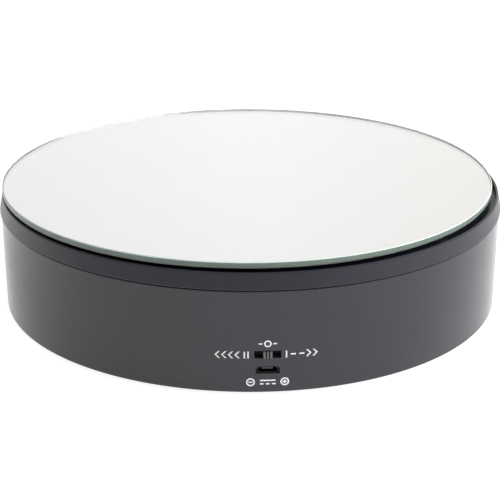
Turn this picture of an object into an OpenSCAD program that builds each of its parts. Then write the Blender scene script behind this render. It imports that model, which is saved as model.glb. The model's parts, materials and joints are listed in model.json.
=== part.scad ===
// Motorised turntable display stand: a round platter with a mirror top turns on a low drum.
// Inside the drum a small motor drives the platter's shaft through a spur gearbox, and a
// cage of steel balls carries the load. The origin is on the table, on the spin axis.
// +Z is up and -Y is the front, where the speed switch and the power inlet are.

/* [Platter and mirror] */
// Diameter of the platter, the widest part of the stand
platter_d = 200; // [196:1:220]
// Height of the platter's skirt
skirt_h = 6.4; // [6:0.1:8]
// Thickness of the platter's disc
platter_t = 2.4; // [2.2:0.1:2.8]
// Thickness of the platter's skirt at its foot
skirt_t = 2; // [1.6:0.1:2.4]
// Taper of the skirt's outside, on the radius
skirt_taper = 1.3; // [0:0.1:1.4]
// Thickness of the rim at its top
rim_t = 1; // [0.9:0.1:1.4]
// Drop from the platter's raised middle to the top of its rim
rim_drop = 0.3; // [0:0.1:0.6]
// Depth of the channel between the platter's rim and its raised middle
channel_depth = 2.2; // [1:0.1:2.4]
// Diameter of the mirror
mirror_d = 195; // [180:1:195]
// How far off the spin axis the mirror is glued, to the right and to the back
mirror_shift = [-1.2, 1]; // [-1.2:0.1:1.2]
// Thickness of the mirror's glass
glass_t = 2.3; // [1.5:0.1:4]
// Thickness of the silvering and its paint, under the glass
coating_t = 0.1; // [0.1:0.05:0.3]
// Thickness of the foam tape that holds the mirror
tape_t = 0.4; // [0.3:0.1:1]

/* [Drum] */
// Height of the rubber feet below the drum's lower edge
foot_proud = 1; // [0.8:0.1:1.6]
// Height of the drum, from its lower edge to its deck
drum_h = 38.5; // [38.5:0.5:42]
// Thickness of the drum's wall and deck
drum_t = 2.4; // [2:0.1:2.8]
// Distance that the platter stands out past the drum's rim
overhang = 0.6; // [0.2:0.1:1.2]
// Taper of the drum's wall, on the radius
draft = 0.3; // [0:0.1:0.8]
// Gap between the drum's rim and the platter's skirt
seam = 0.3; // [0.3:0.1:1]
// Thickness of the base plate
base_t = 2.2; // [2:0.1:2.6]
// Diameter of a rubber foot
foot_d = 14; // [10:1:18]
// Radius of the ring of feet, to their centres
foot_ring_r = 82; // [70:1:84]

/* [Ball bearing] */
// Diameter of a ball
ball_d = 5; // [4.8:0.1:5.2]
// Number of balls
ball_count = 12; // [6:1:16]
// Radius of the ball race, to the balls' centres
race_r = 68; // [60:1:74]

/* [Gearbox] */
// Module of the gears' teeth
tooth_module = 0.8; // [0.75:0.05:0.85]
// Teeth on each large wheel
wheel_teeth = 40; // [36:1:42]
// Teeth on each small pinion
pinion_teeth = 10; // [9:1:12]
// Teeth on the motor's pinion
motor_teeth = 8; // [8:1:9]
// Thickness of a wheel
wheel_t = 2.4; // [2:0.1:2.6]
// Diameter of the output shaft where it drives the platter
shaft_d = 6; // [5:0.5:6]

/* [Motor] */
// Diameter of the motor's can
motor_d = 24.4; // [20:0.2:26]
// Length of the motor's can
motor_h = 11.9; // [10:0.1:12]

/* [Controls] */
// Height of the switch's centre above the drum's lower edge
switch_height = 14.6; // [13:0.1:16]
// Width of the switch's slot in the drum
slot_w = 9.4; // [8.8:0.1:11]
// Height of the switch's slot in the drum
slot_h = 2.9; // [2.7:0.1:3.4]
// Width of the switch's knob
knob_w = 3.2; // [2.4:0.1:3.4]
// Travel of the knob each way from its middle position
knob_travel = 2.5; // [2:0.1:2.6]
// Height of the power inlet's centre above the drum's lower edge
inlet_height = 8.7; // [7.5:0.1:9]
// Width of the power inlet's opening in the drum
inlet_w = 8.4; // [8:0.1:9]
// Height of the power inlet's opening in the drum
inlet_h = 2.9; // [2.8:0.1:3.4]

/* [Hidden] */
$fn = 96;

// Clearances: a fine one for a running fit, and a free one between parts that pass each other
fit = 0.05;
free = 0.3;
// Overlap that keeps cut faces from being shared
cut = 0.1;

// Heights, from the table up
drum_z = foot_proud;
deck_z = drum_z + drum_h;
deck_under = deck_z - drum_t;
skirt_z = deck_z + seam;
platter_z = skirt_z + skirt_h;
platter_under = platter_z - platter_t;
tape_top = platter_z + tape_t;
coating_top = tape_top + coating_t;
glass_top = coating_top + glass_t;
base_z = drum_z + 0.2;
base_top = base_z + base_t;

// Radii of the drum and the platter
platter_r = platter_d / 2;
rim_r = platter_r - overhang;
drum_foot_r = rim_r - draft;
drum_inner_r = drum_foot_r - drum_t + 0.1;
skirt_inner_r = platter_r - skirt_t;
lip_outer_r = skirt_inner_r - 0.5;
lip_t = 1.8;
lip_h = 1.7;
drum_edge_round = 0.5;
skirt_round = 0.3;
rim_round = 0.5;
rim_inner_round = 0.2;
rim_z = platter_z - rim_drop;
rim_outer_r = platter_r - skirt_taper;
rim_inner_r = rim_outer_r - rim_t;
taper_angle = atan(skirt_taper / (rim_z - rim_round - skirt_z - skirt_round));
mirror_r = mirror_d / 2;
glass_bevel = 0.3;
tape_r = mirror_r - 10;
middle_r = mirror_r - 8;
channel_z = platter_z - channel_depth;
channel_floor_t = 1.8;
tape_hole_r = 8;

// Drum's bosses, ribs and base screws
boss_r = 4;
boss_ring_r = 84;
boss_count = 4;
boss_angle = 45;
pad_r = 6;
pad_h = 2;
pad_top = base_top + pad_h;
base_screw_l = 10;
deck_rib_count = 8;
deck_rib_h = 4;
rib_t = 1.6;
deck_rib_in = 46;
platter_rib_count = 12;
platter_rib_h = 1.8;
base_gap = 0.3;

// Screws: radius of the shank, radius and height of the head
m3 = [1.45, 2.8, 1.8];
m26 = [1.2, 2.4, 1.5];
m2 = [0.95, 1.9, 1.1];
shaft_m3 = [1.45, 3.6, 2];
recess_w = 0.7;

// Ball bearing
ball_r = ball_d / 2;
ball_z = (deck_z + platter_under) / 2;
cage_t = 2;
cage_half_w = 6;
cage_window_r = 3.2;
rib_to_cage = 1.5;

// Gear train. The axles are at A on the spin axis, at B behind it, and at the motor, C.
pressure_angle = 20;
backlash = 0.1;
wheel_shift = -0.4;
pinion_shift = 0.4;
motor_wheel_shift = -0.5;
motor_shift = 0.5;
addendum = 0.95;
dedendum = 1.25;
axle_gap = tooth_module * (wheel_teeth + pinion_teeth) / 2;
motor_gap = tooth_module * (wheel_teeth + motor_teeth) / 2;
A = [0, 0];
B = [0, axle_gap];
C = [motor_gap, axle_gap];
toward_back = 90;
toward_front = 270;
toward_motor = 0;
from_motor = 180;
wheel_tip_r = tooth_module * (wheel_teeth / 2 + 1);
layer_pitch = wheel_t + 1;
case_t = 2;
case_side_t = 1.8;
case_inner_r = wheel_tip_r + 0.8;
case_motor_r = motor_d / 2 - case_side_t;
ceiling = deck_under - case_t;
layer_1 = ceiling - 0.6 - wheel_t;
layer_2 = layer_1 - layer_pitch;
layer_3 = layer_2 - layer_pitch;
layer_4 = layer_3 - layer_pitch;
cover_top = layer_4 - 0.4;
cover_z = cover_top - case_t;
pin_r = 1.5;
spindle_r = 2;
shaft_r = shaft_d / 2;
flat_depth = 0.5;
hub_spacer_r = 3;
gear_hub_r = 5;
web_t = 1.2;
ear_r = 3.6;
ear_ring_r = case_inner_r + case_side_t + 2.4;
ear_places = [
    [-ear_ring_r, 0],
    ear_ring_r * [cos(-30), sin(-30)],
    B + ear_ring_r * [cos(110), sin(110)]
];
case_screw_l = 9;
cover_screw_l = 8;
collar_r = 7;
upper_bush_r = 4.5;
lower_bush_r = 3.5;
bush_proud = 0.2;
cover_boss_r = 5;
cover_boss_h = 1;
clip_t = 0.6;
clip_r = 4;
clip_groove_r = 1.6;
clip_top = cover_z - cover_boss_h - free;
shaft_end = clip_top - clip_t - 0.6;
cap_t = 1;
cap_floor = shaft_end - 0.5;

// Drive hub under the platter
hub_z = deck_z + 0.6;
hub_r = 7;
flange_r = 16;
flange_t = 2;
hub_screw_ring_r = 11.5;
hub_boss_r = 3;
hub_boss_h = 1.4;
hub_screw_l = 4;
shaft_hole_depth = 8;
platter_hole_r = 4.5;
inner_rib_span = [flange_r + 4, race_r - cage_half_w - rib_to_cage];
outer_rib_span = [race_r + cage_half_w + rib_to_cage, middle_r];

// Motor, hung under the gearbox cover
motor_r = motor_d / 2;
motor_wall = 0.8;
motor_z = cover_z - motor_h;
motor_boss_r = 3;
motor_boss_h = 1;
motor_bush_r = 2;
motor_shaft_r = 1;
end_cap_t = 1.2;
end_cap_z = motor_z - end_cap_t;
magnet_out_r = motor_r - motor_wall;
magnet_in_r = 9;
rotor_r = 8.4;
rotor_h = 6.6;
rotor_z = motor_z + 2.6;
winding_r = 2.9;
motor_screw_gap = 8;
terminal_gap = 4;
terminal_w = 2;
terminal_t = 0.4;
terminal_z = end_cap_z - 1.8;

// Controls, on a circuit board that stands behind the front wall
switch_z = drum_z + switch_height;
inlet_z = drum_z + inlet_height;
board_y = -91.4;
board_t = 1.6;
board_back = board_y + board_t;
board_w = 36;
board_z = base_top + 1.8;
board_h = 18;
board_boss_x = 14.5;
board_boss_r = 2.8;
board_boss_z = 12.8;
board_boss_y = -97;
board_hole_depth = 4.8;
board_screw_l = 6;
wall_out_y = -rim_r - 2;
wall_in_y = -drum_inner_r + 2;

// Slide switch
frame_w = 12.6;
frame_h = 4.4;
frame_t = 0.4;
frame_y = -94.9;
frame_slot_h = 1.8;
switch_base_t = 1;
knob_h = 2.3;
knob_tip_y = -99.95;
knob_rib_h = 0.8;
knob_rib_w = 0.65;
knob_rib_pitch = 1.15;
shutter_y = -96.15;
shutter_t = 0.8;
shutter_h = 4.2;
lever_w = 1.7;
lever_h = 1.1;
lever_y = -97.3;
carriage_w = 5.2;
carriage_h = 3;
carriage_t = 1;
carriage_y = frame_y + frame_t + 0.1;
contact_strip_t = 0.3;
pin_w = 0.5;
pin_pitch = 3;
pin_end_y = board_back + 1;
pin_hole_r = 0.45;

// Power inlet, a micro-size socket
shell_w = 7.6;
shell_h = 2.5;
shell_t = 0.3;
shell_y = -98.5;
shell_corner = 0.8;
tongue_w = 3.8;
tongue_t = 0.7;
tongue_y = -97.5;
contact_count = 5;
contact_pitch = 0.65;
contact_w = 0.3;
contact_t = 0.1;

// Parts on the back of the circuit board
resistor_r = 1.2;
resistor_l = 6.4;
resistor_lead_r = 0.3;
resistor_z = 20.4;
resistor_x = 3;
capacitor_r = 2.5;
capacitor_l = 7;
capacitor_x = -9;
capacitor_z = 19;

// Leads from the circuit board to the motor, laid along the base plate
lead_r = 0.65;
lead_sides = 8;
lead_steps = 3;
red_route = [
    [5, board_back, 8], [5, -86, 7.6], [5.2, -81, 6], [6, -75, 4.8], [7, -66, 4.5], [8.5, -54, 4.5],
    [10, -42, 4.5], [11.5, -30, 4.5], [13, -18, 4.5], [14.5, -6, 4.5], [15.2, 6, 4.6],
    [C[0] - terminal_gap, C[1] - terminal_t / 2, 5.4]
];
black_route = [
    [9, board_back, 8], [9, -86, 7.6], [9, -81, 6], [9.2, -75, 4.8], [10, -66, 4.5], [12, -54, 4.5],
    [14.5, -42, 4.5], [17, -30, 4.5], [19.5, -18, 4.5], [21.8, -6, 4.5], [23, 6, 4.6],
    [C[0] + terminal_gap, C[1] - terminal_t / 2, 5.4]
];
clip_post_places = [[5, -50], [10.2, -50], [16, -50]];
clip_post = [1.2, 3, 3];

// ---- Helpers ----

// Points along an arc in the profile plane
function arc(centre, r, from, to, steps = 6) =
    [for (i = [0:steps]) let (a = from + (to - from) * i / steps) centre + r * [cos(a), sin(a)]];

module disc(r, low, high) {
    translate([0, 0, low]) cylinder(r = r, h = high - low);
}

module ring(outer, inner, low, high) {
    difference() {
        disc(outer, low, high);
        disc(inner, low - cut, high + cut);
    }
}

module at(place) {
    translate([place[0], place[1], 0]) children();
}

// Copies of the children around the spin axis, at a radius
module around(count, r = 0, start = 0) {
    for (i = [0:count - 1]) rotate([0, 0, start + i * 360 / count]) translate([r, 0, 0]) children();
}

// Children drawn along +Z, laid down so that they point to the back
module to_back() {
    rotate([-90, 0, 0]) children();
}

module block(low, high) {
    translate(low) cube(high - low);
}

// Block centred on x = 0 and on the switch's height, between two planes from front to back
module switch_block(w, h, front, back) {
    block([-w / 2, front, switch_z - h / 2], [w / 2, back, switch_z + h / 2]);
}

// Pan-head screw that points down, with the underside of its head at z = 0
module screw(size, length) {
    arm = size[1] * 0.6;
    difference() {
        union() {
            disc(size[0], -length, 0);
            disc(size[1], 0, size[2]);
        }
        for (turn = [0, 90]) rotate([0, 0, turn]) {
            block([-arm, -recess_w / 2, size[2] * 0.45], [arm, recess_w / 2, size[2] + 1]);
        }
    }
}

// ---- Gears ----

// The involute of an angle, in degrees
function involute(angle) = tan(angle) * 180 / PI - angle;

// Half a tooth's angle at radius r
function half_tooth(teeth, shift, r) =
    let (
        pitch_r = tooth_module * teeth / 2,
        base_r = pitch_r * cos(pressure_angle),
        thickness = tooth_module * (PI / 2 + 2 * shift * tan(pressure_angle)) - backlash,
        at_pitch = thickness / (2 * pitch_r) * 180 / PI
    )
    at_pitch + involute(pressure_angle) - involute(acos(base_r / max(r, base_r)));

// One side of a tooth as [radius, half angle], from its root to its tip
function tooth_side(teeth, shift, steps) =
    let (
        pitch_r = tooth_module * teeth / 2,
        base_r = pitch_r * cos(pressure_angle),
        root_r = pitch_r - tooth_module * (dedendum - shift),
        tip_r = pitch_r + tooth_module * (addendum + shift) * (teeth <= motor_teeth ? 0.9 : 1),
        low_r = max(root_r, base_r)
    )
    concat(
        [[root_r, half_tooth(teeth, shift, root_r)]],
        [for (i = [0:steps]) let (r = low_r + (tip_r - low_r) * i / steps) [r, half_tooth(teeth, shift, r)]]
    );

function gear_outline(teeth, shift, phase, steps) =
    let (side = tooth_side(teeth, shift, steps), last = len(side) - 1)
    [
        for (k = [0:teeth - 1])
        let (middle = phase + k * 360 / teeth)
        each concat(
            [for (i = [0:last]) side[i][0] * [cos(middle - side[i][1]), sin(middle - side[i][1])]],
            [for (i = [last:-1:0]) side[i][0] * [cos(middle + side[i][1]), sin(middle + side[i][1])]]
        )
    ];

// A wheel has a tooth on the line to its mate, and a pinion has a gap there
module wheel(low, mate, shift = wheel_shift, hub = gear_hub_r) {
    difference() {
        translate([0, 0, low]) linear_extrude(wheel_t) polygon(gear_outline(wheel_teeth, shift, mate, 2));
        for (z = [low - cut, low + (wheel_t + web_t) / 2]) {
            ring(wheel_tip_r - 3.4, hub + 1, z, z + (wheel_t - web_t) / 2 + cut);
        }
    }
}

module pinion(teeth, shift, low, high, mate) {
    translate([0, 0, low]) linear_extrude(high - low) {
        polygon(gear_outline(teeth, shift, mate + 180 / teeth, 4));
    }
}

// ---- Platter ----

module mirror_glass() {
    color([0.86, 0.9, 0.88]) at(mirror_shift) rotate_extrude($fn = 180) polygon([
        [0, coating_top], [mirror_r - glass_bevel, coating_top], [mirror_r, coating_top + glass_bevel],
        [mirror_r, glass_top - glass_bevel], [mirror_r - glass_bevel, glass_top], [0, glass_top]
    ]);
}

module mirror_coating() {
    color("silver") at(mirror_shift) disc(mirror_r - glass_bevel, tape_top, coating_top, $fn = 180);
}

module mirror_tape() {
    color([0.1, 0.1, 0.1]) ring(tape_r, tape_hole_r, platter_z, tape_top);
}

// A raised middle under the mirror, a channel around it, and a rim that goes down as the skirt
module platter_shape() {
    rotate_extrude($fn = 180) polygon(concat(
        [
            [platter_hole_r, platter_under], [middle_r - platter_t, platter_under],
            [middle_r - platter_t, channel_z - channel_floor_t], [skirt_inner_r, channel_z - channel_floor_t],
            [skirt_inner_r, skirt_z]
        ],
        arc([platter_r - skirt_round, skirt_z + skirt_round], skirt_round, -90, taper_angle, 4),
        arc([rim_outer_r - rim_round, rim_z - rim_round], rim_round, taper_angle, 90),
        arc([rim_inner_r + rim_inner_round, rim_z - rim_inner_round], rim_inner_round, 90, 180, 3),
        [
            [rim_inner_r, channel_z], [middle_r, channel_z],
            [middle_r, platter_z], [platter_hole_r, platter_z]
        ]
    ));
    for (span = [inner_rib_span, outer_rib_span]) around(platter_rib_count) block(
        [span[0], -rib_t / 2, platter_under - platter_rib_h],
        [span[1], rib_t / 2, platter_under + cut]
    );
}

module platter() {
    color([0.16, 0.16, 0.17]) difference() {
        platter_shape();
        race_groove();
        around(3, hub_screw_ring_r) {
            disc(m26[0] + 0.2, platter_under - cut, platter_z);
            disc(m26[1] + 0.2, platter_z - m26[2] - 0.1, platter_z + cut);
        }
    }
}

module race_groove() {
    rotate_extrude() translate([race_r, ball_z]) circle(r = ball_r + fit);
}

// Shaft with a flat on its side, as the hub and the output gear grip it
module flatted(r, low, high) {
    difference() {
        disc(r, low, high);
        block([-r - cut, r - flat_depth, low - cut], [r + cut, r + cut, high + cut]);
    }
}

module drive_hub() {
    color([0.75, 0.75, 0.72]) difference() {
        union() {
            disc(hub_r, hub_z, platter_under);
            disc(flange_r, platter_under - flange_t, platter_under);
            around(3, hub_screw_ring_r) {
                disc(hub_boss_r, platter_under - flange_t - hub_boss_h, platter_under);
            }
        }
        flatted(shaft_r, hub_z - cut, platter_under + cut);
        around(3, hub_screw_ring_r) {
            disc(m26[0] + fit, platter_under - flange_t - hub_boss_h - cut, platter_under + cut);
        }
    }
}

module hub_screws() {
    color("silver") around(3, hub_screw_ring_r) {
        translate([0, 0, platter_z - m26[2] - 0.1]) screw(m26, hub_screw_l);
    }
}

module shaft_screw() {
    color("silver") translate([0, 0, platter_under]) screw(shaft_m3, shaft_hole_depth - 1);
}

module output_shaft() {
    color([0.7, 0.7, 0.72]) difference() {
        union() {
            disc(spindle_r, shaft_end, layer_1);
            flatted(shaft_r, layer_1, ceiling - free);
            disc(shaft_r, ceiling - free, hub_z);
            flatted(shaft_r, hub_z, platter_under);
        }
        ring(spindle_r + 1, clip_groove_r, clip_top - clip_t, clip_top);
        disc(shaft_m3[0] + fit, platter_under - shaft_hole_depth, platter_under + cut);
    }
}

module output_gear() {
    color("ivory") difference() {
        union() {
            wheel(layer_1, toward_back);
            disc(gear_hub_r, layer_1, ceiling - free);
        }
        flatted(shaft_r, layer_1 - cut, ceiling);
    }
}

module shaft_clip() {
    color([0.3, 0.3, 0.32]) difference() {
        disc(clip_r, clip_top - clip_t, clip_top);
        disc(clip_groove_r, clip_top - 1, clip_top + cut);
        block([-clip_groove_r, 0, clip_top - 1], [clip_groove_r, clip_r + 1, clip_top + cut]);
    }
}

// ---- Ball bearing ----

module bearing_cage() {
    color([0.85, 0.85, 0.8]) difference() {
        ring(race_r + cage_half_w, race_r - cage_half_w, ball_z - cage_t / 2, ball_z + cage_t / 2);
        around(ball_count, race_r) translate([0, 0, ball_z]) sphere(r = ball_r + fit);
        around(ball_count, race_r, 180 / ball_count) disc(cage_window_r, ball_z - cage_t, ball_z + cage_t);
    }
}

module bearing_balls() {
    color("silver") around(ball_count, race_r) translate([0, 0, ball_z]) sphere(r = ball_r);
}

// ---- Gearbox ----

module compound_gear_1() {
    color("ivory") at(B) difference() {
        union() {
            wheel(layer_2, toward_front);
            pinion(pinion_teeth, pinion_shift, layer_2 + wheel_t - cut, ceiling - free, toward_front);
        }
        disc(pin_r + fit, layer_2 - 1, ceiling);
    }
}

module compound_gear_2() {
    color("ivory") difference() {
        union() {
            wheel(layer_3, toward_back);
            pinion(pinion_teeth, pinion_shift, layer_3 + wheel_t - cut, layer_1 - free, toward_back);
            disc(hub_spacer_r, layer_4, layer_3 + cut);
        }
        disc(spindle_r + fit, layer_4 - 1, layer_1);
    }
}

module compound_gear_3() {
    color("ivory") at(B) difference() {
        union() {
            wheel(layer_4, toward_motor, motor_wheel_shift);
            pinion(pinion_teeth, pinion_shift, layer_4 + wheel_t - cut, layer_2 - free, toward_front);
        }
        disc(pin_r + fit, layer_4 - 1, layer_2);
    }
}

module gear_pin() {
    color([0.7, 0.7, 0.72]) at(B) disc(pin_r, cover_z, deck_under);
}

module upper_bush() {
    color([0.72, 0.55, 0.3]) ring(upper_bush_r, shaft_r + fit, ceiling, deck_z + bush_proud);
}

module lower_bush() {
    color([0.72, 0.55, 0.3]) ring(lower_bush_r, spindle_r + fit, cover_z - cover_boss_h, cover_top);
}

// Plan of the gearbox as a solid: a round end at each axle, joined by straight sides
module gearbox_plan(wheel_r, pinion_r, low, high) {
    for (place = [A, B]) at(place) disc(wheel_r, low, high);
    block([-wheel_r, 0, low], [wheel_r, axle_gap, high]);
    at(C) disc(pinion_r, low, high);
    block([0, axle_gap - pinion_r, low], [motor_gap, axle_gap + pinion_r, high]);
}

module gearbox_case() {
    color([0.85, 0.85, 0.83]) difference() {
        union() {
            gearbox_plan(case_inner_r + case_side_t, motor_r, cover_top, deck_under);
            for (ear = ear_places) at(ear) disc(ear_r, cover_top, deck_under);
            disc(collar_r, ceiling, deck_z);
        }
        gearbox_plan(case_inner_r, case_motor_r, cover_top - cut, ceiling);
        disc(upper_bush_r, ceiling - cut, deck_z + cut);
        at(B) disc(pin_r, ceiling - cut, deck_under + cut);
        for (ear = ear_places) at(ear) disc(m26[0] + fit, cover_top - cut, deck_under + cut);
    }
}

module gearbox_cover() {
    color([0.8, 0.8, 0.78]) difference() {
        union() {
            gearbox_plan(case_inner_r + case_side_t, motor_r, cover_z, cover_top);
            for (ear = ear_places) at(ear) disc(ear_r, cover_z, cover_top);
            disc(cover_boss_r, cover_z - cover_boss_h, cover_top);
        }
        disc(lower_bush_r, cover_z - cover_boss_h - cut, cover_top + cut);
        at(B) disc(pin_r, cover_z - cut, cover_top + cut);
        for (ear = ear_places) at(ear) disc(m26[0] + 0.2, cover_z - cut, cover_top + cut);
        at(C) disc(motor_boss_r + fit, cover_z - cut, cover_top + cut);
        motor_screw_places() disc(m2[0] + 0.15, cover_z - cut, cover_top + cut);
    }
}

// Cap pressed over the cover's boss, which closes off the end of the output shaft
module dust_cap() {
    color([0.8, 0.8, 0.78]) difference() {
        disc(cover_boss_r + cap_t, cap_floor - cap_t, cover_z);
        disc(cover_boss_r, cap_floor, cover_z + cut);
    }
}

module gearbox_screws() {
    color("silver") for (ear = ear_places) at(ear) translate([0, 0, deck_z]) screw(m26, case_screw_l);
}

module cover_screws() {
    color("silver") for (ear = ear_places) at(ear) {
        translate([0, 0, cover_z]) rotate([180, 0, 0]) screw(m26, cover_screw_l);
    }
}

// ---- Motor ----

module motor_screw_places() {
    for (side = [-1, 1]) at(C + [0, side * motor_screw_gap]) children();
}

module motor_can() {
    color("silver") at(C) difference() {
        union() {
            disc(motor_r, motor_z, cover_z);
            disc(motor_boss_r, cover_z - motor_wall, cover_z + motor_boss_h);
        }
        disc(motor_r - motor_wall, motor_z - cut, cover_z - motor_wall);
        disc(motor_bush_r, cover_z - motor_wall - cut, cover_z + motor_boss_h + cut);
        for (side = [-1, 1]) translate([0, side * motor_screw_gap, 0]) {
            disc(m2[0] + fit, cover_z - motor_wall - cut, cover_z + cut);
        }
    }
}

module motor_bushes() {
    color([0.72, 0.55, 0.3]) at(C) {
        ring(motor_bush_r, motor_shaft_r + fit, cover_z - motor_wall, cover_z + motor_boss_h);
        ring(motor_bush_r, motor_shaft_r + fit, end_cap_z + 0.4, motor_z);
    }
}

module motor_magnets() {
    color([0.25, 0.25, 0.27]) at(C) difference() {
        ring(magnet_out_r, magnet_in_r, rotor_z - 0.8, cover_z - motor_wall - 0.8);
        block([-motor_r, -1, motor_z], [motor_r, 1, cover_z]);
    }
}

// Three-pole armature with a coil around each pole, and the commutator below it
module motor_rotor() {
    color([0.6, 0.35, 0.2]) at(C) difference() {
        union() {
            difference() {
                disc(rotor_r, rotor_z, rotor_z + rotor_h);
                disc(rotor_r - 1, rotor_z - cut, rotor_z + rotor_h + cut);
                for (turn = [0, 120, 240]) rotate([0, 0, turn + 60]) {
                    block([0, -0.8, rotor_z - cut], [rotor_r + 1, 0.8, rotor_z + rotor_h + cut]);
                }
            }
            for (turn = [0, 120, 240]) rotate([0, 0, turn]) {
                block([0, -winding_r, rotor_z + 0.4], [rotor_r - 1.6, winding_r, rotor_z + rotor_h - 0.4]);
                block([0, -1.2, rotor_z], [rotor_r - 0.5, 1.2, rotor_z + rotor_h]);
            }
            disc(motor_bush_r, motor_z + free, rotor_z + rotor_h);
        }
        disc(motor_shaft_r, motor_z, cover_z);
    }
}

module motor_shaft() {
    color([0.7, 0.7, 0.72]) at(C) disc(motor_shaft_r, end_cap_z + 0.6, layer_4 + wheel_t + free);
}

module motor_end_cap() {
    color([0.9, 0.9, 0.88]) at(C) difference() {
        disc(motor_r - motor_wall, end_cap_z, motor_z);
        disc(motor_bush_r, end_cap_z + 0.4, motor_z + cut);
        for (side = [-1, 1]) translate([side * terminal_gap, 0, 0]) {
            block(
                [-terminal_w / 2, -terminal_t / 2, end_cap_z - cut],
                [terminal_w / 2, terminal_t / 2, motor_z + cut]
            );
        }
    }
}

module motor_terminals() {
    color([0.8, 0.65, 0.4]) at(C) for (side = [-1, 1]) translate([side * terminal_gap, 0, 0]) {
        block([-terminal_w / 2, -terminal_t / 2, terminal_z], [terminal_w / 2, terminal_t / 2, motor_z]);
    }
}

module motor_screws() {
    color("silver") motor_screw_places() translate([0, 0, cover_top]) screw(m2, case_t + motor_wall + 0.4);
}

module motor_pinion() {
    color([0.85, 0.75, 0.45]) at(C) difference() {
        pinion(motor_teeth, motor_shift, cover_top + free, layer_4 + wheel_t + 0.2, from_motor);
        disc(motor_shaft_r, cover_top, layer_4 + 2 * wheel_t);
    }
}

// ---- Drum ----

module drum_shell() {
    rotate_extrude($fn = 180) polygon(concat(
        [[drum_inner_r, drum_z]],
        arc([drum_foot_r - drum_edge_round, drum_z + drum_edge_round], drum_edge_round, -90, 0, 4),
        arc([rim_r - drum_edge_round, deck_z - drum_edge_round], drum_edge_round, 0, 90, 4),
        [
            [lip_outer_r, deck_z], [lip_outer_r, deck_z + lip_h], [lip_outer_r - lip_t, deck_z + lip_h],
            [lip_outer_r - lip_t, deck_z], [collar_r + fit, deck_z], [collar_r + fit, deck_under],
            [drum_inner_r, deck_under]
        ]
    ));
}

module board_boss_places() {
    for (side = [-1, 1]) translate([side * board_boss_x, 0, board_boss_z]) children();
}

// Outline of the power inlet: a wide foot and two cut corners above
module inlet_outline(w, h, corner) {
    polygon([
        [-w / 2, -h / 2], [w / 2, -h / 2], [w / 2, h / 2 - corner],
        [w / 2 - corner, h / 2], [corner - w / 2, h / 2], [-w / 2, h / 2 - corner]
    ]);
}

// Prism of the inlet's outline between two planes, from front to back
module inlet_prism(w, h, corner, front, back) {
    translate([0, back, inlet_z]) rotate([90, 0, 0]) linear_extrude(back - front) inlet_outline(w, h, corner);
}

module housing() {
    color([0.19, 0.19, 0.2]) difference() {
        union() {
            drum_shell();
            around(boss_count, boss_ring_r, boss_angle) disc(boss_r, pad_top, deck_under + cut);
            around(deck_rib_count, 0, 180 / deck_rib_count) block(
                [deck_rib_in, -rib_t / 2, deck_under - deck_rib_h],
                [drum_inner_r + 1, rib_t / 2, deck_under + cut]
            );
            board_boss_places() translate([0, board_boss_y, 0]) to_back() {
                cylinder(r = board_boss_r, h = board_y - board_boss_y);
            }
        }
        race_groove();
        around(boss_count, boss_ring_r, boss_angle) disc(m3[0] + fit, pad_top - cut, pad_top + base_screw_l);
        for (ear = ear_places) at(ear) disc(m26[0] + 0.2, deck_under - cut, deck_z + cut);
        board_boss_places() translate([0, board_y - board_hole_depth, 0]) to_back() {
            cylinder(r = m2[0] + fit, h = board_hole_depth + cut);
        }
        switch_block(slot_w, slot_h, wall_out_y, wall_in_y);
        inlet_prism(inlet_w, inlet_h, shell_corner, wall_out_y, wall_in_y);
    }
}

module base_plate() {
    color([0.15, 0.15, 0.16]) difference() {
        union() {
            disc(drum_inner_r - base_gap, base_z, base_top, $fn = 180);
            around(boss_count, boss_ring_r, boss_angle) disc(pad_r, base_z, pad_top);
            for (place = clip_post_places) {
                translate([place[0], place[1], base_top - cut]) block(
                    [-clip_post[0] / 2, -clip_post[1] / 2, 0],
                    [clip_post[0] / 2, clip_post[1] / 2, clip_post[2] + cut]
                );
            }
        }
        around(boss_count, boss_ring_r, boss_angle) {
            disc(m3[1] + 0.4, base_z - cut, base_z + m3[2] + 0.2);
            disc(m3[0] + 0.2, base_z, pad_top + cut);
        }
        around(4, foot_ring_r) disc(foot_d / 2 + 0.1, base_z - cut, base_z + 0.6);
    }
}

module base_screws() {
    color("silver") around(boss_count, boss_ring_r, boss_angle) {
        translate([0, 0, base_z + m3[2] + 0.2]) rotate([180, 0, 0]) screw(m3, base_screw_l);
    }
}

module rubber_feet() {
    foot_r = foot_d / 2;
    color([0.08, 0.08, 0.08]) around(4, foot_ring_r) rotate_extrude() polygon([
        [0, 0], [foot_r - 0.5, 0], [foot_r, 0.5], [foot_r, base_z + 0.6], [0, base_z + 0.6]
    ]);
}

// ---- Circuit board and controls ----

module circuit_board() {
    color([0.1, 0.35, 0.2]) difference() {
        block([-board_w / 2, board_y, board_z], [board_w / 2, board_back, board_z + board_h]);
        board_boss_places() translate([0, board_y - cut, 0]) to_back() {
            cylinder(r = m2[0] + 0.2, h = board_t + 2 * cut);
        }
        translate([0, board_y - cut, 0]) {
            switch_pin_places() to_back() cylinder(r = pin_hole_r, h = board_t + 2 * cut);
            resistor_ends() to_back() cylinder(r = pin_hole_r, h = board_t + 2 * cut);
        }
    }
}

module board_screws() {
    color("silver") board_boss_places() translate([0, board_back, 0]) to_back() screw(m2, board_screw_l);
}

module usb_shell() {
    color([0.62, 0.62, 0.63]) difference() {
        inlet_prism(shell_w, shell_h, shell_corner, shell_y, board_y);
        inlet_prism(shell_w - 2 * shell_t, shell_h - 2 * shell_t, shell_corner, shell_y - cut, board_y - 1);
    }
}

module usb_tongue() {
    color([0.12, 0.12, 0.12]) block(
        [-tongue_w / 2, tongue_y, inlet_z - tongue_t / 2], [tongue_w / 2, board_y - 1, inlet_z + tongue_t / 2]
    );
}

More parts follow.
